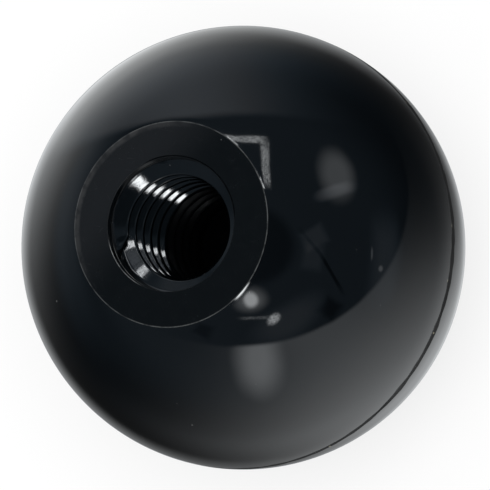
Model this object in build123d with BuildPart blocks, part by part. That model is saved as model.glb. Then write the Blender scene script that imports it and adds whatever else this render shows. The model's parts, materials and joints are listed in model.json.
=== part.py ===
# Ball knob in one piece: a moulded phenolic ball with a turned seat and a moulded, threaded blind bore.
# Millimetres. The origin is the centre of the seat, +Z runs out of the bore's mouth and the ball hangs below it.
from build123d import *
import math
import os

# Ball
ball_diameter = 34.925
seat_diameter = 15.875
seat_edge_break = 0.12

# Thread of the stud that the knob screws onto, 3/8 inch with 16 turns to the inch
thread_major_diameter = 9.525
thread_pitch = 25.4 / 16
thread_minor_allowance = 0.17
thread_length = 15

# Mouth of the bore: a shallow recess with a flat floor, a little wider than the stud
mouth_clearance = 0.4
mouth_edge_break = 0.12
mouth_recess_depth = 0.75

# Plain end of the bore, past the last turn of thread
bore_tail_length = 1.6
bore_end_bevel = 0.5

# Parting groove round the equator, where the two halves of the mould met
groove_width = 0.2
groove_depth = 0.1

# Sizes that follow from the ones above
ball_radius = ball_diameter / 2
seat_radius = seat_diameter / 2
centre_depth = math.sqrt(ball_radius**2 - seat_radius**2)
minor_diameter_share = 5 / 8 * math.sqrt(3)
thread_minor_diameter = thread_major_diameter - minor_diameter_share * thread_pitch + thread_minor_allowance
bore_radius = thread_minor_diameter / 2
mouth_radius = thread_major_diameter / 2 + mouth_clearance
bore_depth = mouth_recess_depth + thread_length + bore_tail_length

with BuildPart() as ball_knob:
    # Whole ball, its centre straight below the seat
    with Locations((0, 0, -centre_depth)):
        Sphere(ball_radius)

    # The seat is turned flat and its rim is just broken
    split(bisect_by=Plane.XY, keep=Keep.BOTTOM)
    seat_face = ball_knob.faces().sort_by(Axis.Z)[-1]
    chamfer(seat_face.edges(), seat_edge_break)

    # Blind bore at the thread's minor diameter, and the recess at its mouth
    with BuildSketch(Plane.XZ) as bore_section:
        with BuildLine() as bore_outline:
            Polyline(
                (0, 0),
                (mouth_radius + mouth_edge_break, 0),
                (mouth_radius, -mouth_edge_break),
                (mouth_radius, -mouth_recess_depth),
                (bore_radius, -mouth_recess_depth),
                (bore_radius, -bore_depth),
                (0, -bore_depth),
                close=True,
            )
        make_face()
        bore_end_corner = bore_section.vertices().group_by(Axis.Y)[0].sort_by(Axis.X)[-1]
        chamfer(bore_end_corner, bore_end_bevel)
    revolve(axis=Axis.Z, mode=Mode.SUBTRACT)

    # Shallow vee groove along the mould's parting line
    with BuildSketch(Plane.XZ) as groove_section:
        with Locations((ball_radius, -centre_depth)):
            Polygon(
                (-groove_depth, 0),
                (groove_depth, groove_width),
                (groove_depth, -groove_width),
                align=None,
            )
    revolve(axis=Axis.Z, mode=Mode.SUBTRACT)

ball_knob.part.label = "ball_knob"

os.makedirs("parts", exist_ok=True)
export_step(ball_knob.part, "parts/ball_knob.step")

print("bore wall radius", round(bore_radius, 4), "mouth radius", round(mouth_radius, 4))
print("bore depth", round(bore_depth, 4), "ball centre depth", round(centre_depth, 4))
print("volume", round(ball_knob.part.volume, 2), "centre of mass", ball_knob.part.center(CenterOf.MASS))
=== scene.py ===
# Looks of a black ball knob, mouth up on a pale floor: moulded gloss, turned seat and threaded bore.
import json
import math

import bpy
import numpy as np
from mathutils import Matrix, Vector


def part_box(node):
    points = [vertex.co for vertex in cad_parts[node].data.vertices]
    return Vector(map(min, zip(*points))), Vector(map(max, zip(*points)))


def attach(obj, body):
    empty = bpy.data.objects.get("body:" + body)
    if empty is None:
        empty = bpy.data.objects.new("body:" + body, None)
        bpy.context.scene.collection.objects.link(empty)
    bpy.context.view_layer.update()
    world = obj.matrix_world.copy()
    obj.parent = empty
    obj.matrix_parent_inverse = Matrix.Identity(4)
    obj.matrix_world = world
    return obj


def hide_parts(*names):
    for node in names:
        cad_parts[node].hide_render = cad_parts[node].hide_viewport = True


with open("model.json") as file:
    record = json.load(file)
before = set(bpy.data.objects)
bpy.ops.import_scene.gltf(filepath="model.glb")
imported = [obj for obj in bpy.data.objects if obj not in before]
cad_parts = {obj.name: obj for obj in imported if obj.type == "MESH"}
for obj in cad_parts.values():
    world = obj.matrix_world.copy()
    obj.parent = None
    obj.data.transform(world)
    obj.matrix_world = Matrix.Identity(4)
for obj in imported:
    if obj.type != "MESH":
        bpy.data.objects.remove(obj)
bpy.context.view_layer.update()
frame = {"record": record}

MM = 0.001

# Sizes of the knob, in metres, read off the frame
low_corner, high_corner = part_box("ball_knob")
mounts = {m["name"]: m["dims"] for m in frame["record"]["mounts"]}
ball_radius = min(high_corner.x, high_corner.y, -low_corner.x, -low_corner.y)
centre_depth = high_corner.z - low_corner.z - ball_radius
ball_centre = Vector((0, 0, -centre_depth))
floor_height = low_corner.z
bore_radius = mounts["thread"]["r_mm"] * MM
bore_wall_length = mounts["thread"]["length_mm"] * MM
mouth_radius = mounts["mouth"]["r_mm"] * MM
mouth_wall_length = mounts["mouth"]["length_mm"] * MM

# Edges of the seat, and the sides of the knob where the seat is paler and where its finish is worn, as
# degrees round the bore
seat_edge_round = 0.09 * MM
mouth_edge_break = 0.12 * MM
mouth_edge_round = 0.035 * MM
seat_paler_side_deg = 68
seat_wear_side_deg = 262
seat_smear_side_deg = 72
mouth_wear_side_deg = 146

# Painted shadow line along the seat's inner edge, which is wide on one side only
mouth_line_width = 0.11 * MM
mouth_line_least_share = 0.08
mouth_line_fade = 0.15
mouth_line_side_deg = -12
mouth_line_reach_deg = 58

# Thread. The flanks' angles are from square to the bore, and depths are below the seat.
thread_pitch = 25.4 / 16 * MM
thread_root_radius = 5.08 * MM
thread_root_width = 0.09 * MM
thread_upper_flank_deg = 25.5
thread_lower_flank_deg = 32.5
thread_corner_softness = 0.035 * MM
thread_crest_turn = 0.684
thread_first_crest_depth = 1.236 * MM
thread_start_ramp_deg = 18
# Turns of the thread before its far turns take the painted shade finish
thread_unshaded_turns = 6.2
thread_runout_turns = 0.8

# Wall above the first ridge, which narrows from the recess to the thread's root
run_in_radius = mouth_radius - 0.04 * MM
run_in_length = 1.85 * MM
run_in_turns = 0.6
bare_wall_tolerance = 0.01 * MM

# Far end of the bore
bore_tail_length = 1.1 * MM
bore_end_bevel = 0.5 * MM

# Parting groove. Its width and depth waver by shares, its path by a length, and plain rows keep clear of it.
groove_half_width = 0.30 * MM
groove_depth = 0.14 * MM
groove_offset = 0.09 * MM
groove_width_waver = 0.28
groove_depth_waver = 0.35
groove_path_waver = 0.03 * MM
groove_section_power = 1.6
groove_clear_share = 2.0

recess_depth = mouth_wall_length + mouth_edge_break
thread_end_depth = recess_depth + bore_wall_length - bore_tail_length
bore_depth = recess_depth + bore_wall_length + bore_end_bevel

# Fineness of the mesh
columns = 192
rows_per_turn = 24
corner_steps = 7
edge_rows = 6
seat_rings = 8
ball_step_deg = 1.5
sharp_edge_deg = 32
depth_tolerance = 1e-7

# Order of the finishes on the knob, of which the last is painted shade
GLOSS, PARTING, SEAT, BORE, PAINTED_SHADE = range(5)


def smooth(value):
    """Runs smoothly from 0 to 1 as the value does."""
    value = np.clip(value, 0, 1)
    return value * value * (3 - 2 * value)


def wavering(angles, seed, slowest, fastest):
    """A smooth random line round the knob, about -1 to 1, that closes on itself."""
    draw = np.random.default_rng(seed)
    line = np.zeros_like(angles)
    for waves in range(slowest, fastest + 1):
        line += draw.normal() * np.cos(waves * angles + draw.uniform(0, 2 * math.pi))
    return line / math.sqrt((fastest - slowest + 1) / 2) / 2


def ball_row(latitude, radius=ball_radius):
    """One row round the ball's centre, as radius and height."""
    return radius * np.cos(latitude), radius * np.sin(latitude) - centre_depth


def ball_rows(from_deg, to_deg):
    """Rows of the ball's skin between two latitudes."""
    count = max(2, round((to_deg - from_deg) / ball_step_deg) + 1)
    return [ball_row(latitude) for latitude in np.radians(np.linspace(from_deg, to_deg, count))]


def groove_rows(angles):
    """Rows across the parting groove. Its width and depth waver as a trimmed moulding's do."""
    width = groove_half_width * (1 + groove_width_waver * wavering(angles, seed=3, slowest=5, fastest=70))
    depth = groove_depth * (1 + groove_depth_waver * wavering(angles, seed=4, slowest=5, fastest=80))
    middle = groove_offset + groove_path_waver * wavering(angles, seed=5, slowest=2, fastest=30)
    rows = []
    for share in (-1.25, -1.0, -0.75, -0.4, 0.0, 0.4, 0.75, 1.0, 1.25):
        cut = depth * max(0.0, 1 - abs(share) ** groove_section_power)
        rows.append(ball_row((share * width + middle) / ball_radius, ball_radius - cut))
    return rows


def rolled_edge(middle_radius, edge_round, first, last):
    """Rows round an edge of the seat, from one angle of its rounding to another, as radius and height."""
    turns = np.linspace(first, last, edge_rows)
    return [(middle_radius + edge_round * math.cos(a), edge_round * (math.sin(a) - 1)) for a in turns]


def seat_edge_rows():
    """Rows round the seat's outer edge, which rolls over into the ball."""
    middle_height = centre_depth - seat_edge_round
    middle_radius = math.sqrt((ball_radius - seat_edge_round) ** 2 - middle_height**2)
    first = math.atan2(middle_height, middle_radius)
    return rolled_edge(middle_radius, seat_edge_round, first, math.pi / 2)


def mouth_edge_rows():
    """Rows round the seat's inner edge, which rolls down into the mouth."""
    return rolled_edge(mouth_radius + mouth_edge_round, mouth_edge_round, math.pi / 2, math.pi)


def mouth_line_radius(angles):
    """Outer radius of the painted shadow line along the seat's inner edge."""
    off = angles - math.radians(mouth_line_side_deg)
    within = np.cos(off) - math.cos(math.radians(mouth_line_reach_deg))
    share = mouth_line_least_share + (1 - mouth_line_least_share) * smooth(within / mouth_line_fade)
    return mouth_radius + mouth_edge_round + mouth_line_width * share


def bare_radius(depth):
    """Radius of the bore's wall where no ridge stands."""
    left = np.clip(1 - (depth - recess_depth) / run_in_length, 0, 1)
    return thread_root_radius + (run_in_radius - thread_root_radius) * left


def ridge_radius(from_crest, bare):
    """Radius of the wall beside or on a ridge's crest, with the corners softened."""
    upper_slope = math.tan(math.radians(thread_upper_flank_deg))
    lower_slope = math.tan(math.radians(thread_lower_flank_deg))
    flanks = (thread_root_radius - bore_radius) * (upper_slope + lower_slope)
    crest_half = (thread_pitch - thread_root_width - flanks) / 2
    total = 0
    for offset in np.linspace(-1, 1, corner_steps) * thread_corner_softness:
        beside = np.maximum(np.abs(from_crest + offset) - crest_half, 0)
        slope = np.where(from_crest + offset < 0, upper_slope, lower_slope)
        total = total + np.minimum(bore_radius + beside / slope, bare)
    return total / corner_steps


def thread_radius(depth, angle):
    """Radius of the bore's wall. The first ridge rises over a short ramp, and the last groove fades out."""
    turn = (depth - recess_depth) / thread_pitch + angle / (2 * math.pi) - thread_crest_turn
    ramp_depth = thread_pitch * thread_start_ramp_deg / 360
    bare = bare_radius(depth)
    radius = bare
    for turns_away in (-1, 0, 1):
        from_crest = (turn - np.round(turn) - turns_away) * thread_pitch
        risen = np.clip((depth - from_crest - thread_first_crest_depth) / ramp_depth, 0, 1)
        radius = np.minimum(radius, bare + (ridge_radius(from_crest, bare) - bare) * risen)
    left = smooth((thread_end_depth - depth) / (thread_runout_turns * thread_pitch))
    return bore_radius + (radius - bore_radius) * left


def add_object(name, data):
    """Puts a mesh, a light or a camera into the scene as an object."""
    thing = bpy.data.objects.new(name, data)
    bpy.context.scene.collection.objects.link(thing)
    return thing


class KnobMesh:
    """Collects rings of points and the quads between them."""

    def __init__(self):
        self.points = []
        self.faces = []
        self.finishes = []
        self.angles = np.arange(columns) * 2 * math.pi / columns

    def ring(self, radius, height):
        """Adds one ring and returns the indices of its points."""
        first = len(self.points)
        radius = np.broadcast_to(radius, columns)
        height = np.broadcast_to(height, columns)
        ring = np.stack([radius * np.cos(self.angles), radius * np.sin(self.angles), height], 1)
        self.points.extend(ring.tolist())
        return list(range(first, first + columns))

    def add_face(self, corners, finish):
        """Adds a face without repeated corners, if any area is left."""
        kept = [c for i, c in enumerate(corners) if c != corners[i - 1]]
        if len(set(kept)) >= 3:
            self.faces.append(kept)
            self.finishes.append(finish)

    def band(self, below, above, finish):
        """Quads between two rings, facing outwards on the ball where above is the next ring up."""
        for j in range(columns):
            k = (j + 1) % columns
            self.add_face((below[j], below[k], above[k], above[j]), finish)

    def cap(self, ring, height, finish, flip):
        """Closes a ring with a fan to a point on the axis."""
        self.points.append([0.0, 0.0, height])
        tip = len(self.points) - 1
        for j in range(columns):
            k = (j + 1) % columns
            self.add_face((ring[k], ring[j], tip) if flip else (ring[j], ring[k], tip), finish)

    def helix_grid(self, top, bottom):
        """Points of the threaded wall, in rows that climb with the thread, and where the wall is bare."""
        turns = (thread_end_depth - recess_depth) / thread_pitch
        row_count = math.ceil((turns + 1) * rows_per_turn) + 1
        run_in_rows = round((thread_crest_turn + run_in_turns) * rows_per_turn)
        grid = np.empty((row_count, columns), int)
        bare = np.empty((row_count, columns), bool)
        share = self.angles / (2 * math.pi)
        for row in range(row_count):
            depth = recess_depth + thread_pitch * (row / rows_per_turn - share)
            radius = thread_radius(depth, self.angles)
            bare[row] = (radius > bare_radius(depth) - bare_wall_tolerance) & (row < run_in_rows)
            x, y = radius * np.cos(self.angles), radius * np.sin(self.angles)
            for j in range(columns):
                if depth[j] <= recess_depth + depth_tolerance:
                    grid[row, j] = top[j]
                elif depth[j] >= thread_end_depth - depth_tolerance:
                    grid[row, j] = bottom[j]
                else:
                    self.points.append([x[j], y[j], -depth[j]])
                    grid[row, j] = len(self.points) - 1
        if (grid[-1] != bottom).any():
            raise ValueError("the thread's rows stop short of its end")
        return grid, bare

    def helix(self, top, bottom, wall_finish, finish, painted_shade_finish):
        """The threaded wall between two rings. Rows join one turn on, so that a crest is one clean line."""
        grid, bare = self.helix_grid(top, bottom)
        last = columns - 1
        for row in range(len(grid) - 1):
            # From here on the far turns take the painted shade finish
            if row == round(thread_unshaded_turns * rows_per_turn):
                finish = painted_shade_finish
            for j in range(last):
                corners = (grid[row, j], grid[row, j + 1], grid[row + 1, j + 1], grid[row + 1, j])
                self.add_face(corners, wall_finish if bare[row : row + 2, j : j + 2].all() else finish)
            across = max(row - rows_per_turn, 0)
            across_next = max(row + 1 - rows_per_turn, 0)
            corners = (grid[row, last], grid[across, 0], grid[across_next, 0], grid[row + 1, last])
            self.add_face(corners, wall_finish if bare[row : row + 2, last].all() else finish)

    def build(self, name, finishes):
        """Makes the Blender object."""
        mesh = bpy.data.meshes.new(name)
        mesh.from_pydata(self.points, [], self.faces)
        for material in finishes:
            mesh.materials.append(material)
        mesh.polygons.foreach_set("material_index", self.finishes)
        mesh.polygons.foreach_set("use_smooth", [True] * len(self.faces))
        mesh.validate()
        mesh.set_sharp_from_angle(angle=math.radians(sharp_edge_deg))
        return add_object(name, mesh)


def knob_body(finishes):
    """The whole moulding as one closed mesh, from the bottom of the ball to the bottom of the bore.

    Each row of the outline is listed with the finish of the band that leads up to it.
    """
    form = KnobMesh()
    groove_reach_deg = math.degrees(groove_clear_share * groove_half_width / ball_radius)
    groove = groove_rows(form.angles)
    seat_edge = seat_edge_rows()
    seat_latitude = math.degrees(math.atan2(seat_edge[0][1] + centre_depth, seat_edge[0][0]))
    mouth_edge = mouth_edge_rows()
    seat_radii = np.linspace(seat_edge[-1][0], mouth_edge[0][0], seat_rings + 2)[1:-1]
    outline = [(row, GLOSS) for row in ball_rows(-90 + ball_step_deg, -groove_reach_deg) + groove[:1]]
    outline += [(row, PARTING) for row in groove[1:]]
    outline += [(row, GLOSS) for row in ball_rows(groove_reach_deg, seat_latitude)[:-1] + seat_edge[:1]]
    outline += [(row, SEAT) for row in seat_edge[1:]]
    outline += [((radius, 0.0), SEAT) for radius in seat_radii]
    # A painted shadow line: the flat band at the seat's inner edge takes the dark painted shade finish
    outline += [((mouth_line_radius(form.angles), 0.0), SEAT), (mouth_edge[0], PAINTED_SHADE)]
    outline += [(row, SEAT) for row in mouth_edge[1:]]
    outline += [((mouth_radius, -recess_depth), BORE)]
    rings = [(form.ring(*row), finish) for row, finish in outline]
    form.cap(rings[0][0], floor_height, GLOSS, flip=True)
    for (below, _), (above, finish) in zip(rings, rings[1:]):
        form.band(below, above, finish)
    ledge_edge = form.ring(thread_radius(np.full(columns, recess_depth), form.angles), -recess_depth)
    form.band(rings[-1][0], ledge_edge, SEAT)
    wall_end = form.ring(bore_radius, -thread_end_depth)
    form.helix(ledge_edge, wall_end, SEAT, BORE, PAINTED_SHADE)
    tail_end = form.ring(bore_radius, -(bore_depth - bore_end_bevel))
    bevel_end = form.ring(bore_radius - bore_end_bevel, -bore_depth)
    # The bore's tail and blind end take the painted shade finish
    form.band(wall_end, tail_end, PAINTED_SHADE)
    form.band(tail_end, bevel_end, PAINTED_SHADE)
    form.cap(bevel_end, -bore_depth, PAINTED_SHADE, flip=False)
    return form.build("knob_body", finishes)


# Kinds of sockets on the node groups
FLOAT, VECTOR, COLOUR = "NodeSocketFloat", "NodeSocketVector", "NodeSocketColor"


def fill(tree, sockets, inputs):
    """Fills sockets with values or with other nodes' outputs."""
    for key, value in inputs.items():
        if isinstance(value, bpy.types.NodeSocket):
            tree.links.new(value, sockets[key])
        else:
            sockets[key].default_value = value


def place(tree, kind, inputs=None, **settings):
    """Adds a node, applies its settings and fills its inputs."""
    node = tree.nodes.new(kind)
    for name, value in settings.items():
        setattr(node, name, value)
    fill(tree, node.inputs, inputs or {})
    return node


def new_group(name, inputs, outputs):
    """An empty shader node group with the named sockets, and its input and output nodes."""
    group = bpy.data.node_groups.new(name, "ShaderNodeTree")
    for label, kind, value in inputs:
        socket = group.interface.new_socket(label, in_out="INPUT", socket_type=kind)
        if value is not None:
            socket.default_value = value
    for label, kind in outputs:
        group.interface.new_socket(label, in_out="OUTPUT", socket_type=kind)
    return group, group.nodes.new("NodeGroupInput"), group.nodes.new("NodeGroupOutput")


def effect(tree, group, inputs=None, **settings):
    """Places a shared effect with its own values, and gives its first output."""
    return place(tree, "ShaderNodeGroup", inputs, node_tree=group, **settings).outputs[0]


def math_node(tree, operation, *values):
    """One arithmetic node, and its output."""
    return place(tree, "ShaderNodeMath", dict(enumerate(values)), operation=operation).outputs[0]


def add(tree, *values):
    """The sum of the values, from first to last."""
    total = values[0]
    for value in values[1:]:
        total = math_node(tree, "ADD", total, value)
    return total


def times(tree, *values):
    """The product of the values, from first to last."""
    product = values[0]
    for value in values[1:]:
        product = math_node(tree, "MULTIPLY", product, value)
    return product


def hypotenuse(tree, across, up):
    """Length of a line that reaches so far across and so far up."""
    return math_node(tree, "SQRT", add(tree, times(tree, across, across), times(tree, up, up)))


def along(tree, vector, axis):
    """How far a vector reaches along an axis."""
    inputs = {0: vector, 1: axis}
    return place(tree, "ShaderNodeVectorMath", inputs, operation="DOT_PRODUCT").outputs["Value"]


def scaled(tree, vector, share):
    """A vector or a colour times a number."""
    return place(tree, "ShaderNodeVectorMath", {0: vector, "Scale": share}, operation="SCALE").outputs[0]


def soft_step(tree, value, start, end, low=0.0, high=1.0):
    """Runs smoothly from low at start to high at end."""
    inputs = {"Value": value, "From Min": start, "From Max": end, "To Min": low, "To Max": high}
    return place(tree, "ShaderNodeMapRange", inputs, interpolation_type="SMOOTHSTEP").outputs["Result"]


def noise(tree, point, scale, detail=2.0):
    """Cloudy random values, mostly between 0.3 and 0.7."""
    inputs = {"Vector": point, "Scale": scale, "Detail": detail}
    return place(tree, "ShaderNodeTexNoise", inputs).outputs["Fac"]


def raised(tree, height, reach_mm, strength=1.0):
    """The surface's normal, tilted by a height that reaches so many millimetres at 1."""
    inputs = {"Height": height, "Distance": reach_mm * MM, "Strength": strength}
    return place(tree, "ShaderNodeBump", inputs).outputs[0]


def blend_colour(tree, mask, plain, marked):
    """Plain colour where the mask is 0 and the marked one where it is 1."""
    node = place(tree, "ShaderNodeMix", data_type="RGBA")
    shown_inputs = {s.name: s for s in node.inputs if s.enabled}
    fill(tree, shown_inputs, {"Factor": mask, "A": plain, "B": marked})
    return [s for s in node.outputs if s.enabled][0]


def mix_shaders(tree, share, first, second):
    """The first shader where the share is 0 and the second where it is 1."""
    return place(tree, "ShaderNodeMixShader", {0: share, 1: first, 2: second}).outputs[0]


def grey(level, tint=(1, 1, 1)):
    """An opaque colour at that level."""
    return (level * tint[0], level * tint[1], level * tint[2], 1)


def make_knob_place():
    """Where a point of the knob is, and its distance from the bore's axis, in millimetres."""
    group, _, out = new_group("knob_place", [], [("Point", VECTOR), ("Radius", FLOAT)])
    point = scaled(group, place(group, "ShaderNodeTexCoord").outputs["Object"], 1 / MM)
    parts = place(group, "ShaderNodeSeparateXYZ", {0: point}).outputs
    fill(group, out.inputs, {"Point": point, "Radius": hypotenuse(group, parts["X"], parts["Y"])})
    return group


def make_dust_specks():
    """Scattered specks: some of the cells of a fine scatter hold a small round mark."""
    inputs = [("Point", VECTOR, None), ("Spacing", FLOAT, 1.5), ("Size", FLOAT, 0.05), ("Share", FLOAT, 0.2)]
    group, given, out = new_group("dust_specks", inputs, [("Mask", FLOAT)])
    per_mm = math_node(group, "DIVIDE", 1.0, given.outputs["Spacing"])
    cells = place(group, "ShaderNodeTexVoronoi", {"Vector": given.outputs["Point"], "Scale": per_mm})
    distance = times(group, cells.outputs["Distance"], given.outputs["Spacing"])
    chance = place(group, "ShaderNodeSeparateColor", {0: cells.outputs["Color"]})
    reach = times(group, given.outputs["Size"], chance.outputs["Green"])
    speck = math_node(group, "LESS_THAN", distance, reach)
    chosen = math_node(group, "LESS_THAN", chance.outputs["Red"], given.outputs["Share"])
    fill(group, out.inputs, {"Mask": times(group, speck, chosen)})
    return group


def make_fine_scratches():
    """Short hair scratches that run one way in a patch and another way in the next."""
    inputs = [("Point", VECTOR, None), ("Scale", FLOAT, 1.0), ("Share", FLOAT, 0.3)]
    group, given, out = new_group("fine_scratches", inputs, [("Mask", FLOAT)])
    # A hair stands where the noise is above a threshold, which is lower where more of them are wanted
    threshold = math_node(group, "SUBTRACT", 0.78, times(group, given.outputs["Share"], 0.2))
    contrast = 12.0
    deepest = 0.0
    for turn_deg, stretch in ((25, 14), (-50, 18), (80, 12)):
        inputs = {"Vector": given.outputs["Point"], "Angle": math.radians(turn_deg)}
        turned = place(group, "ShaderNodeVectorRotate", inputs).outputs[0]
        inputs = {0: turned, 1: (1, stretch, 1)}
        drawn_out = place(group, "ShaderNodeVectorMath", inputs, operation="MULTIPLY").outputs[0]
        hairs = noise(group, drawn_out, given.outputs["Scale"])
        depth = times(group, math_node(group, "SUBTRACT", hairs, threshold), contrast)
        deepest = math_node(group, "MAXIMUM", deepest, depth)
    fill(group, out.inputs, {"Mask": math_node(group, "MINIMUM", deepest, 1.0)})
    return group


def make_mould_ripple():
    """The slow unevenness of a moulded gloss skin, as a height."""
    inputs = [("Point", VECTOR, None), ("Wavelength", FLOAT, 3.0)]
    group, given, out = new_group("mould_ripple", inputs, [("Height", FLOAT)])
    per_mm = math_node(group, "DIVIDE", 1.0, given.outputs["Wavelength"])
    fill(group, out.inputs, {"Height": noise(group, given.outputs["Point"], per_mm, detail=1.5)})
    return group


def make_edge_rub():
    """A broken line along a round edge, where handling has dulled it."""
    inputs = [("Point", VECTOR, None)]
    inputs += [("Radius", FLOAT, 0.0), ("Edge Radius", FLOAT, 5.0), ("Width", FLOAT, 0.1)]
    group, given, out = new_group("edge_rub", inputs, [("Mask", FLOAT)])
    off = math_node(group, "SUBTRACT", given.outputs["Radius"], given.outputs["Edge Radius"])
    share = math_node(group, "DIVIDE", math_node(group, "ABSOLUTE", off), given.outputs["Width"])
    line = soft_step(group, share, 0.3, 1.0, low=1.0, high=0.0)
    patches = noise(group, given.outputs["Point"], 1.2, detail=4.0)
    broken = soft_step(group, patches, 0.35, 0.6, low=0.25, high=1.0)
    fill(group, out.inputs, {"Mask": times(group, line, broken)})
    return group


knob_place = make_knob_place()
dust_specks = make_dust_specks()
fine_scratches = make_fine_scratches()
mould_ripple = make_mould_ripple()
edge_rub = make_edge_rub()


def new_finish(name):
    """A new material, its tree and its shader."""
    material = bpy.data.materials.new(name)
    material.use_nodes = True
    return material, material.node_tree, material.node_tree.nodes["Principled BSDF"]


def side_wear(tree, point, side_deg, start_mm, end_mm, least=0.0, most=1.0):
    """Grows towards one side of the knob, between two distances from the bore's axis."""
    side = math.radians(side_deg)
    reach = along(tree, point, (math.cos(side), math.sin(side), 0))
    return soft_step(tree, reach, start_mm, end_mm, least, most)


def moulded_gloss():
    """The ball's skin: black phenolic as it left the polished mould, with a little dust on it."""
    material, tree, shader = new_finish("moulded_gloss")
    point = effect(tree, knob_place)
    dust = effect(tree, dust_specks, {"Point": point, "Spacing": 2.1, "Size": 0.09, "Share": 0.30})
    fine_dust = effect(tree, dust_specks, {"Point": point, "Spacing": 1.1, "Size": 0.045, "Share": 0.35})
    marks = add(tree, times(tree, dust, 0.8), times(tree, fine_dust, 0.45))
    scratches = effect(tree, fine_scratches, {"Point": point, "Scale": 0.35, "Share": 0.25})
    broad_variation = effect(tree, mould_ripple, {"Point": point, "Wavelength": 7.0})
    polish = soft_step(tree, broad_variation, 0.35, 0.7, low=0.03, high=0.055)
    ripple = effect(tree, mould_ripple, {"Point": point, "Wavelength": 4.0})
    inputs = {
        "Base Color": blend_colour(tree, marks, grey(0.0012, (0.75, 1.0, 1.3)), grey(0.11, (1, 1, 0.98))),
        "Roughness": add(tree, polish, times(tree, marks, 0.4), times(tree, scratches, 0.05)),
        "IOR": 1.6,
        "Normal": raised(tree, ripple, 0.02),
    }
    fill(tree, shader.inputs, inputs)
    return material


def parting_line():
    """The trimmed parting groove: dull, with a few torn specks of flash."""
    material, tree, shader = new_finish("parting_line")
    point = effect(tree, knob_place)
    specks = effect(tree, dust_specks, {"Point": point, "Spacing": 0.35, "Size": 0.16, "Share": 0.10})
    stretches = soft_step(tree, noise(tree, point, 0.12, detail=1.0), 0.5, 0.62)
    flash = times(tree, specks, stretches)
    torn = noise(tree, point, 6.0, detail=3.0)
    inputs = {
        "Base Color": blend_colour(tree, flash, grey(0.015), grey(0.28, (1.0, 0.93, 0.68))),
        "Roughness": 0.45,
        "IOR": 1.28,
        "Normal": raised(tree, torn, 0.03, strength=0.7),
    }
    fill(tree, shader.inputs, inputs)
    return material


def turned_seat():
    """The seat: faced off on a lathe, so satin, with fine rings, light scratches and dulled edges."""
    material, tree, shader = new_finish("turned_seat")
    point, radius = place(tree, "ShaderNodeGroup", node_tree=knob_place).outputs

    def edge_mark(edge_mm, width_mm, side_deg, start_mm, end_mm, least, most=1.0):
        """A broken line along a round edge, stronger on one side of the knob."""
        inputs = {"Point": point, "Radius": radius, "Edge Radius": edge_mm, "Width": width_mm}
        line = effect(tree, edge_rub, inputs)
        return times(tree, line, side_wear(tree, point, side_deg, start_mm, end_mm, least, most))

    # Wear on both edges, and a smear of dust just inside the outer one
    outer_edge_mm = seat_edge_rows()[-1][0] / MM
    inner_edge_mm = (mouth_radius + mouth_edge_round / 2) / MM
    outer_wear = edge_mark(outer_edge_mm + 0.05, 0.12, seat_wear_side_deg, -7.5, 6, least=0.25, most=0.4)
    inner_wear = edge_mark(inner_edge_mm, 0.06, mouth_wear_side_deg, 4.6, 5.05, least=0.03)
    rubbed = math_node(tree, "MAXIMUM", outer_wear, inner_wear)
    smear = edge_mark(outer_edge_mm - 0.1, 0.4, seat_smear_side_deg, 2, 7, least=0.0, most=0.16)

    # Rings left by the lathe tool, a little uneven, with finer ones between them
    ring_spacing_mm = 0.12
    ring_waver_mm = 0.05
    ring_place = add(tree, radius, times(tree, noise(tree, point, 0.25), ring_waver_mm))
    rings = math_node(tree, "SINE", times(tree, ring_place, 2 * math.pi / ring_spacing_mm))
    inputs = {"W": ring_place, "Scale": 9.0, "Detail": 3.0}
    fine_rings = place(tree, "ShaderNodeTexNoise", inputs, noise_dimensions="1D").outputs["Fac"]
    scratches = effect(tree, fine_scratches, {"Point": point, "Scale": 0.55, "Share": 0.5})
    height = add(tree, times(tree, rings, 0.5), fine_rings, times(tree, scratches, -0.6))

    # Colour, from the bare turned face out to what lies on it
    cloud = noise(tree, point, 0.8, detail=3.0)
    colour = blend_colour(tree, cloud, grey(0.0012, (0.7, 1, 1.2)), grey(0.0026, (0.7, 1, 1.2)))
    # The seat's colour is paler towards one side
    broad_variation = side_wear(tree, point, seat_paler_side_deg, 0.5, 5.5)
    colour = blend_colour(tree, broad_variation, colour, grey(0.0085, (0.91, 1, 1.14)))
    colour = blend_colour(tree, times(tree, scratches, 0.35), colour, grey(0.02, (0.9, 1, 1.05)))
    dust = effect(tree, dust_specks, {"Point": point, "Spacing": 0.9, "Size": 0.07, "Share": 0.25})
    dusty = math_node(tree, "MAXIMUM", smear, times(tree, dust, 0.3))
    colour = blend_colour(tree, dusty, colour, grey(0.12))
    colour = blend_colour(tree, rubbed, colour, grey(0.17, (0.95, 1, 1.0)))

    satin = soft_step(tree, cloud, 0.3, 0.7, low=0.22, high=0.28)
    inputs = {
        "Base Color": colour,
        "Roughness": add(tree, satin, times(tree, rubbed, -0.1)),
        "IOR": 1.4,
        "Normal": raised(tree, height, 0.0012),
    }
    fill(tree, shader.inputs, inputs)
    return material


def moulded_bore():
    """The recess and the thread: a hard burnished skin, glossier than the ball's, with drag marks."""
    material, tree, shader = new_finish("moulded_bore")
    point = effect(tree, knob_place)
    dust = effect(tree, dust_specks, {"Point": point, "Spacing": 0.7, "Size": 0.06, "Share": 0.2})
    cloud = noise(tree, point, 1.6, detail=4.0)
    drag = noise(tree, point, 2.2, detail=2.5)
    inputs = {
        "Base Color": blend_colour(tree, times(tree, dust, 0.6), grey(0.0012, (0.7, 1, 1.3)), grey(0.05)),
        "Roughness": soft_step(tree, cloud, 0.3, 0.7, low=0.04, high=0.10),
        "IOR": 1.68,
        "Normal": raised(tree, drag, 0.004),
    }
    fill(tree, shader.inputs, inputs)
    return material


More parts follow.
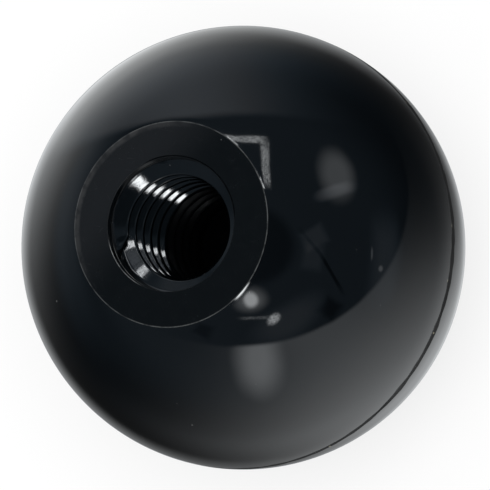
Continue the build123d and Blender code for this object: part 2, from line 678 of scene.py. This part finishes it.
def painted_shade_bore():
    """Painted shade for the far turns, the blind end and the line at the mouth: dull and near black, with
    cloudy tone.
    """
    material, tree, shader = new_finish("painted_shade_bore")
    shade_cloud = noise(tree, effect(tree, knob_place), 1.2, detail=3.0)
    inputs = {
        "Base Color": blend_colour(tree, shade_cloud, grey(0.0005, (0.8, 1, 1.2)), grey(0.0015, (0.8, 1, 1.2))),
        "Roughness": soft_step(tree, shade_cloud, 0.3, 0.7, low=0.3, high=0.45),
        "IOR": 1.2,
    }
    fill(tree, shader.inputs, inputs)
    return material


knob = knob_body([moulded_gloss(), parting_line(), turned_seat(), moulded_bore(), painted_shade_bore()])
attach(knob, "root")
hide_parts("ball_knob")


# The photograph's view. Its picture measures 490 pixels, and the ball's outline in it is a circle.
picture_size = 490
outline_radius = 222.0
outline_centre = (243.4, 247.65)
camera_distance = 25 * ball_radius
bore_lean_deg = 22.0
bore_direction_deg = 162.0
sensor_width_mm = 36.0

to_camera = Vector((0, -math.sin(math.radians(bore_lean_deg)), math.cos(math.radians(bore_lean_deg))))
axis_in_picture = (Vector((0, 0, 1)) - to_camera * to_camera.z).normalized()
across_axis = to_camera.cross(axis_in_picture)
roll = math.radians(bore_direction_deg)
picture_right = axis_in_picture * math.cos(roll) - across_axis * math.sin(roll)
picture_up = axis_in_picture * math.sin(roll) + across_axis * math.cos(roll)


def clock_direction(clock_deg):
    """A direction across the picture, anticlockwise from its right side."""
    clock = math.radians(clock_deg)
    return picture_right * math.cos(clock) + picture_up * math.sin(clock)


def studio_direction(clock_deg, away_deg):
    """A direction from the ball, by its place round the picture and its angle away from the camera."""
    away = math.radians(away_deg)
    return to_camera * math.cos(away) + clock_direction(clock_deg) * math.sin(away)


# Things in the room that the gloss mirrors: clock place, angle away from the camera, half width, half height
# and turn in degrees, then softness, roundness and level. A level below zero is darker than the room.
ROOM_PANELS = {
    "window_head": (90, 57.6, 8.6, 1.8, 0, 0.35, 0, 2.6),
    "window_post": (75.1, 45.3, 1.8, 10.5, 15, 0.4, 0, 2.2),
    "window_corner": (78.8, 33, 2.7, 2, -60, 0.3, 0, 9),
    "window_bar": (99, 54.7, 3.2, 2, -54, 0.3, 0, 5.5),
    "window_pane": (94.7, 47.3, 13, 2.2, -58, 0.4, 0, 0.48),
    "high_wall": (126, 79, 16, 2.2, -39, 0.5, 0, 0.12),
    "lamp": (-82, 26.5, 3.4, 3.9, 0, 0.4, 1, 3.5),
    "lamp_core": (-98, 20.3, 4.8, 2.1, 60, 0.4, 0.5, 16),
    "lamp_shade": (-82, 26.8, 6.6, 5, 0, 0.7, 1, 1.05),
    "shelf_edge": (-80, 36.8, 6.5, 0.7, -8, 0.5, 0, 0.7),
    "shelf_lamp": (-67, 40.2, 3.2, 2.2, 25, 0.5, 1, 3.2),
    "side_shade": (38, 63.5, 8, 10.8, 43, 0.55, 1, 0.66),
    "side_shade_foot": (31.6, 57.5, 2.8, 10, -10, 0.5, 0.7, 0.42),
    "dark_middle": (5, 6, 19, 20, 0, 0.2, 1, -0.07),
    "pale_patch": (8, 37, 4.5, 6, 20, 0.4, 0, 0.12),
    "low_pale_patch": (-8, 36, 5.5, 5, 0, 0.5, 0, 0.09),
    "pale_table": (-58, 45, 16, 8, 0, 0.6, 1, 0.13),
    "dark_pole": (-9.5, 42.9, 0.8, 17, -42, 0.4, 0, -0.08),
    "dark_door": (-116, 48, 4, 3.5, 0, 0.5, 0, -0.06),
    "dark_corner": (-35, 56, 4, 5, 0, 0.5, 0, -0.07),
    "brass_speck": (-8.6, 76, 1.1, 1.3, 0, 0.5, 1, 0.6),
    "far_speck": (-2.9, 69.6, 2.4, 0.6, 0, 0.5, 1, 0.45),
    "pale_door": (-5, 79, 15, 8, 0, 0.7, 0.5, 0.12),
}
LOW_CARD = (-82.5, 59.5, 8, 18.5, 0, 0.75, 1, 1.25)

# Panels with grain in their light, and the level above which a panel is white and not tinted like the room
GRAINY_PANELS = ("window", "shelf")
least_white_level = 0.5

# Broad soft light from one side of the picture: its clock place and sharpness, then one or two slopes.
# A slope is two angles away from the camera and the levels there. Two slopes multiply.
BROAD_LIGHTS = {
    "left_wall": (168, 12, (85, 100, 0.0, 0.18), (105, 120, 1.0, 0.0)),
    "near_paper": (-50, 7, (60, 110, 0.60, 1.02), (118, 150, 1.0, 0.0)),
    "middle_paper": (-33, 7.5, (118, 150, 0.0, 0.95), (150, 165, 1.0, 0.3)),
    "far_paper": (-8, 5, (150, 168, 0.0, 0.68)),
    "daylight": (147, 10, (95, 145, 0.0, 0.83), (150, 164, 1.0, 0.86)),
    "ceiling": (75, 24, (138, 156, 0.0, 0.26)),
    "behind": (-172, 2.5, (143, 166, 0.0, 0.4)),
}

# The room's own level, and the least that a dark thing leaves of it
room_level = 0.018
least_room_level = 0.008

# Pale wall above the room: its clock place and sharpness, the slope of its lower edge, where the edge starts
# and ends and the levels there, and how the wall brightens further round
WALL_LOBE = (114, 12)
wall_edge_slope = 1.6
WALL_EDGE = (1.16, 1.30, 0.0, 0.44)
WALL_BRIGHTENS = (128, 142, 1.0, 1.4)

# The paper's straight edge: a direction square to it, by clock place and angle away, and its softness
PAPER_EDGE_SQUARE = (94, 38.4)
PAPER_EDGE = (-0.02, 0.03)

# Tints of the dim room, the lit room, its far side, lamps and paper, and the grey straight behind
DIM_TINT = (0.70, 1.0, 1.30)
LIT_TINT = (0.90, 1.0, 1.12)
FAR_TINT = (0.98, 1.0, 1.0)
WHITE_TINT = (0.97, 1.0, 1.02)
BEHIND_TINT = (0.95, 1.0, 1.05)
behind_level = 0.40


def make_soft_panel():
    """A lit panel seen in one direction, rectangular or round, with soft edges."""
    inputs = [(name, VECTOR, None) for name in ("Direction", "Middle", "Across", "Along")]
    inputs += [(name, FLOAT, 0.1) for name in ("Half Width", "Half Height", "Softness")]
    inputs += [("Roundness", FLOAT, 0), ("Level", FLOAT, 1.0)]
    group, given, out = new_group("soft_panel", inputs, [("Light", FLOAT)])
    direction = given.outputs["Direction"]
    ahead = along(group, direction, given.outputs["Middle"])
    near = math_node(group, "MAXIMUM", ahead, 0.01)
    shares = []
    for side, half in (("Across", "Half Width"), ("Along", "Half Height")):
        off = math_node(group, "DIVIDE", along(group, direction, given.outputs[side]), near)
        shares.append(math_node(group, "DIVIDE", math_node(group, "ABSOLUTE", off), given.outputs[half]))
    square = math_node(group, "MAXIMUM", *shares)
    bulge = math_node(group, "SUBTRACT", hypotenuse(group, *shares), square)
    share = add(group, square, times(group, given.outputs["Roundness"], bulge))
    inner = math_node(group, "SUBTRACT", 1.0, given.outputs["Softness"])
    outer = add(group, 1.0, given.outputs["Softness"])
    lit = soft_step(group, share, inner, outer, low=1.0, high=0.0)
    in_front = math_node(group, "GREATER_THAN", ahead, 0.02)
    fill(group, out.inputs, {"Light": times(group, lit, given.outputs["Level"], in_front)})
    return group


class MirroredStudio:
    """The lights and shades that gloss mirrors, each as a level that a node group works out."""

    def __init__(self, group, direction, soft_panel):
        self.group = group
        self.direction = direction
        self.soft_panel = soft_panel
        self.towards = along(group, direction, to_camera)
        self.rightwards = along(group, direction, picture_right)
        self.upwards = along(group, direction, picture_up)
        self.sideways = math_node(group, "MAXIMUM", hypotenuse(group, self.rightwards, self.upwards), 0.001)

    def lobe(self, clock_deg, sharpness):
        """Light that comes mostly from one side of the picture."""
        reach = along(self.group, self.direction, clock_direction(clock_deg))
        nearness = math_node(self.group, "DIVIDE", reach, self.sideways)
        half = times(self.group, add(self.group, nearness, 1.0), 0.5)
        return math_node(self.group, "POWER", math_node(self.group, "MAXIMUM", half, 0.0), sharpness)

    def between(self, start_deg, end_deg, low, high):
        """Runs smoothly from one level to another between two angles away from the camera."""
        start, end = math.cos(math.radians(start_deg)), math.cos(math.radians(end_deg))
        return soft_step(self.group, self.towards, start, end, low, high)

    def broad_light(self, name):
        """One of the broad soft lights."""
        clock_deg, sharpness, *slopes = BROAD_LIGHTS[name]
        levels = [self.between(*slope) for slope in slopes]
        return times(self.group, self.lobe(clock_deg, sharpness), *levels)

    def panel(self, name, values):
        """The light of one panel of the room."""
        clock, away, half_width, half_height, turn_deg, softness, roundness, level = values
        middle = studio_direction(clock, away)
        downwards = studio_direction(clock, away + 90)
        spin = Matrix.Rotation(math.radians(turn_deg), 3, middle)
        inputs = {
            "Direction": self.direction, "Middle": middle,
            "Across": spin @ middle.cross(downwards), "Along": spin @ downwards,
            "Half Width": math.tan(math.radians(half_width)),
            "Half Height": math.tan(math.radians(half_height)),
            "Softness": softness, "Roundness": roundness, "Level": level,
        }
        return effect(self.group, self.soft_panel, inputs, label=name)

    def panels(self):
        """The panels that are tinted like the room, and the white ones."""
        speckle = noise(self.group, self.direction, 100.0)
        grain = soft_step(self.group, speckle, 0.38, 0.63, low=0.2, high=1.9)
        tinted, white = [], []
        for name, values in ROOM_PANELS.items():
            light = self.panel(name, values)
            if name.startswith(GRAINY_PANELS):
                light = times(self.group, light, grain)
            if values[-1] > least_white_level:
                white.append(light)
            else:
                tinted.append(light)
        return tinted, white

    def pale_wall(self):
        """The wall above the room."""
        slanted = times(self.group, self.upwards, wall_edge_slope)
        above_room = math_node(self.group, "SUBTRACT", slanted, self.towards)
        edge = soft_step(self.group, above_room, *WALL_EDGE)
        return times(self.group, self.lobe(*WALL_LOBE), edge, self.between(*WALL_BRIGHTENS))

    def room(self, panels):
        """The room, which is dimmer to the right, with its panels and walls."""
        dimmer_right = math_node(self.group, "SUBTRACT", 1.0, times(self.group, self.rightwards, 0.3))
        parts = [times(self.group, self.between(110, 65, 0.0, 0.10), dimmer_right), *panels]
        parts += [self.broad_light("left_wall"), self.pale_wall(), room_level]
        return math_node(self.group, "MAXIMUM", add(self.group, *parts), least_room_level)

    def paper(self):
        """White paper up to a straight edge. Its near part is shaded towards the top of the picture."""
        climb = math_node(self.group, "DIVIDE", self.upwards, self.sideways)
        shade = soft_step(self.group, climb, -0.3, 0.4, low=0.0, high=0.55)
        shade = times(self.group, shade, self.between(142, 152, 1.0, 0.0))
        near = add(self.group, self.broad_light("near_paper"), self.broad_light("middle_paper"))
        near = times(self.group, near, math_node(self.group, "SUBTRACT", 1.0, shade))
        sheets = add(self.group, near, self.broad_light("far_paper"), self.panel("low_card", LOW_CARD))
        below_edge = along(self.group, self.direction, -studio_direction(*PAPER_EDGE_SQUARE))
        return times(self.group, soft_step(self.group, below_edge, *PAPER_EDGE), sheets)


def make_studio_surround(soft_panel):
    """What gloss mirrors: a dim room towards the camera, its walls, lamps and window, and white paper."""
    group, given, out = new_group("studio_surround", [("Direction", VECTOR, None)], [("Colour", COLOUR)])
    studio = MirroredStudio(group, given.outputs["Direction"], soft_panel)
    tinted_panels, white_lights = studio.panels()
    room = studio.room(tinted_panels)
    white_lights.append(studio.paper())
    white_lights += [studio.broad_light(name) for name in ("daylight", "ceiling", "behind")]
    white = add(group, *white_lights)

    # The room is bluer where it is dim, and all that is white is added to it
    tint = blend_colour(group, soft_step(group, room, 0.03, 0.35), grey(1, DIM_TINT), grey(1, LIT_TINT))
    tint = blend_colour(group, studio.between(112, 148, 0.0, 1.0), tint, grey(1, FAR_TINT))
    inputs = {0: scaled(group, tint, room), 1: scaled(group, WHITE_TINT, white)}
    lit = place(group, "ShaderNodeVectorMath", inputs, operation="ADD").outputs[0]
    straight_behind = studio.between(168, 178, 0.0, 1.0)
    colour = blend_colour(group, straight_behind, lit, grey(behind_level, BEHIND_TINT))
    fill(group, out.inputs, {"Colour": colour})
    return group


studio_surround = make_studio_surround(make_soft_panel())

# Light, floor and lamp, in metres and watts
even_light_strength = 0.72
floor_half_size = 4.0
paper_level = 0.92
floor_fade_start = 0.045
floor_fade_end = 0.13
floor_least_whiteness = 0.72
lamp_size = 0.9
lamp_power = 9.0
lamp_distance = 1.2
lamp_clock_deg = 120
lamp_away_deg = 4


def light_world():
    """White behind the knob, the studio where gloss mirrors it, and even light on everything dull."""
    world = bpy.data.worlds.new("studio")
    bpy.context.scene.world = world
    world.use_nodes = True
    world.cycles.sampling_method = "NONE"
    tree = world.node_tree
    even = tree.nodes["Background"]
    fill(tree, even.inputs, {"Color": grey(1.0), "Strength": even_light_strength})
    direction = place(tree, "ShaderNodeTexCoord").outputs["Generated"]
    studio = effect(tree, studio_surround, {"Direction": direction})
    mirrored = place(tree, "ShaderNodeBackground", {"Color": studio, "Strength": 1.0}).outputs[0]
    white = place(tree, "ShaderNodeBackground", {"Color": grey(1.0), "Strength": 1.0}).outputs[0]
    ray = place(tree, "ShaderNodeLightPath").outputs
    lit = mix_shaders(tree, ray["Is Glossy Ray"], even.outputs[0], mirrored)
    shown = mix_shaders(tree, ray["Is Camera Ray"], lit, white)
    fill(tree, tree.nodes["World Output"].inputs, {"Surface": shown})


def paper_floor():
    """A pale sheet that keeps the knob's soft shadow and fades to white. Gloss doesn't mirror it."""
    mesh = bpy.data.meshes.new("floor")
    signs = ((-1, -1), (1, -1), (1, 1), (-1, 1))
    corners = [(x * floor_half_size, y * floor_half_size, floor_height) for x, y in signs]
    mesh.from_pydata(corners, [], [(0, 1, 2, 3)])
    floor = add_object("floor", mesh)
    material = bpy.data.materials.new("floor_paper")
    material.use_nodes = True
    material.cycles.emission_sampling = "NONE"
    tree = material.node_tree
    tree.nodes.remove(tree.nodes["Principled BSDF"])
    paper = place(tree, "ShaderNodeBsdfDiffuse", {"Color": grey(paper_level)}).outputs[0]
    white = place(tree, "ShaderNodeEmission", {"Color": grey(1.0), "Strength": 1.0}).outputs[0]
    spot = place(tree, "ShaderNodeTexCoord").outputs["Object"]
    distance = place(tree, "ShaderNodeVectorMath", {0: spot}, operation="LENGTH").outputs["Value"]
    whiteness = soft_step(tree, distance, floor_fade_start, floor_fade_end, floor_least_whiteness, 1.0)
    seen = mix_shaders(tree, whiteness, paper, white)
    seen_by_camera = place(tree, "ShaderNodeLightPath").outputs["Is Camera Ray"]
    shown = mix_shaders(tree, seen_by_camera, paper, seen)
    fill(tree, tree.nodes["Material Output"].inputs, {"Surface": shown})
    mesh.materials.append(material)
    floor.visible_glossy = False


def overhead_lamp():
    """A large soft lamp beside the camera that gives the knob its shadow on the floor."""
    light = bpy.data.lights.new("overhead_lamp", "AREA")
    light.shape = "DISK"
    light.size = lamp_size
    light.energy = lamp_power
    lamp = add_object("overhead_lamp", light)
    lamp.location = studio_direction(lamp_clock_deg, lamp_away_deg) * lamp_distance
    lamp.rotation_euler = (-lamp.location).to_track_quat("-Z", "Y").to_euler()
    lamp.visible_glossy = False
    lamp.visible_camera = False


def photo_camera():
    """The camera, rolled so that the bore's axis points the way it does in the photograph."""
    focal_pixels = outline_radius * math.sqrt((camera_distance / ball_radius) ** 2 - 1)
    view = bpy.data.cameras.new("camera")
    view.sensor_width = sensor_width_mm
    view.lens = focal_pixels * sensor_width_mm / picture_size
    camera = add_object("camera", view)
    per_pixel = camera_distance / focal_pixels
    right_by = (picture_size / 2 - outline_centre[0]) * per_pixel
    up_by = (outline_centre[1] - picture_size / 2) * per_pixel
    spot = ball_centre + to_camera * camera_distance + picture_right * right_by + picture_up * up_by
    turned = Matrix((picture_right, picture_up, to_camera)).transposed()
    camera.matrix_world = Matrix.Translation(spot) @ turned.to_4x4()
    bpy.context.scene.camera = camera


light_world()
paper_floor()
overhead_lamp()
photo_camera()
bpy.context.scene.view_settings.view_transform = "Standard"
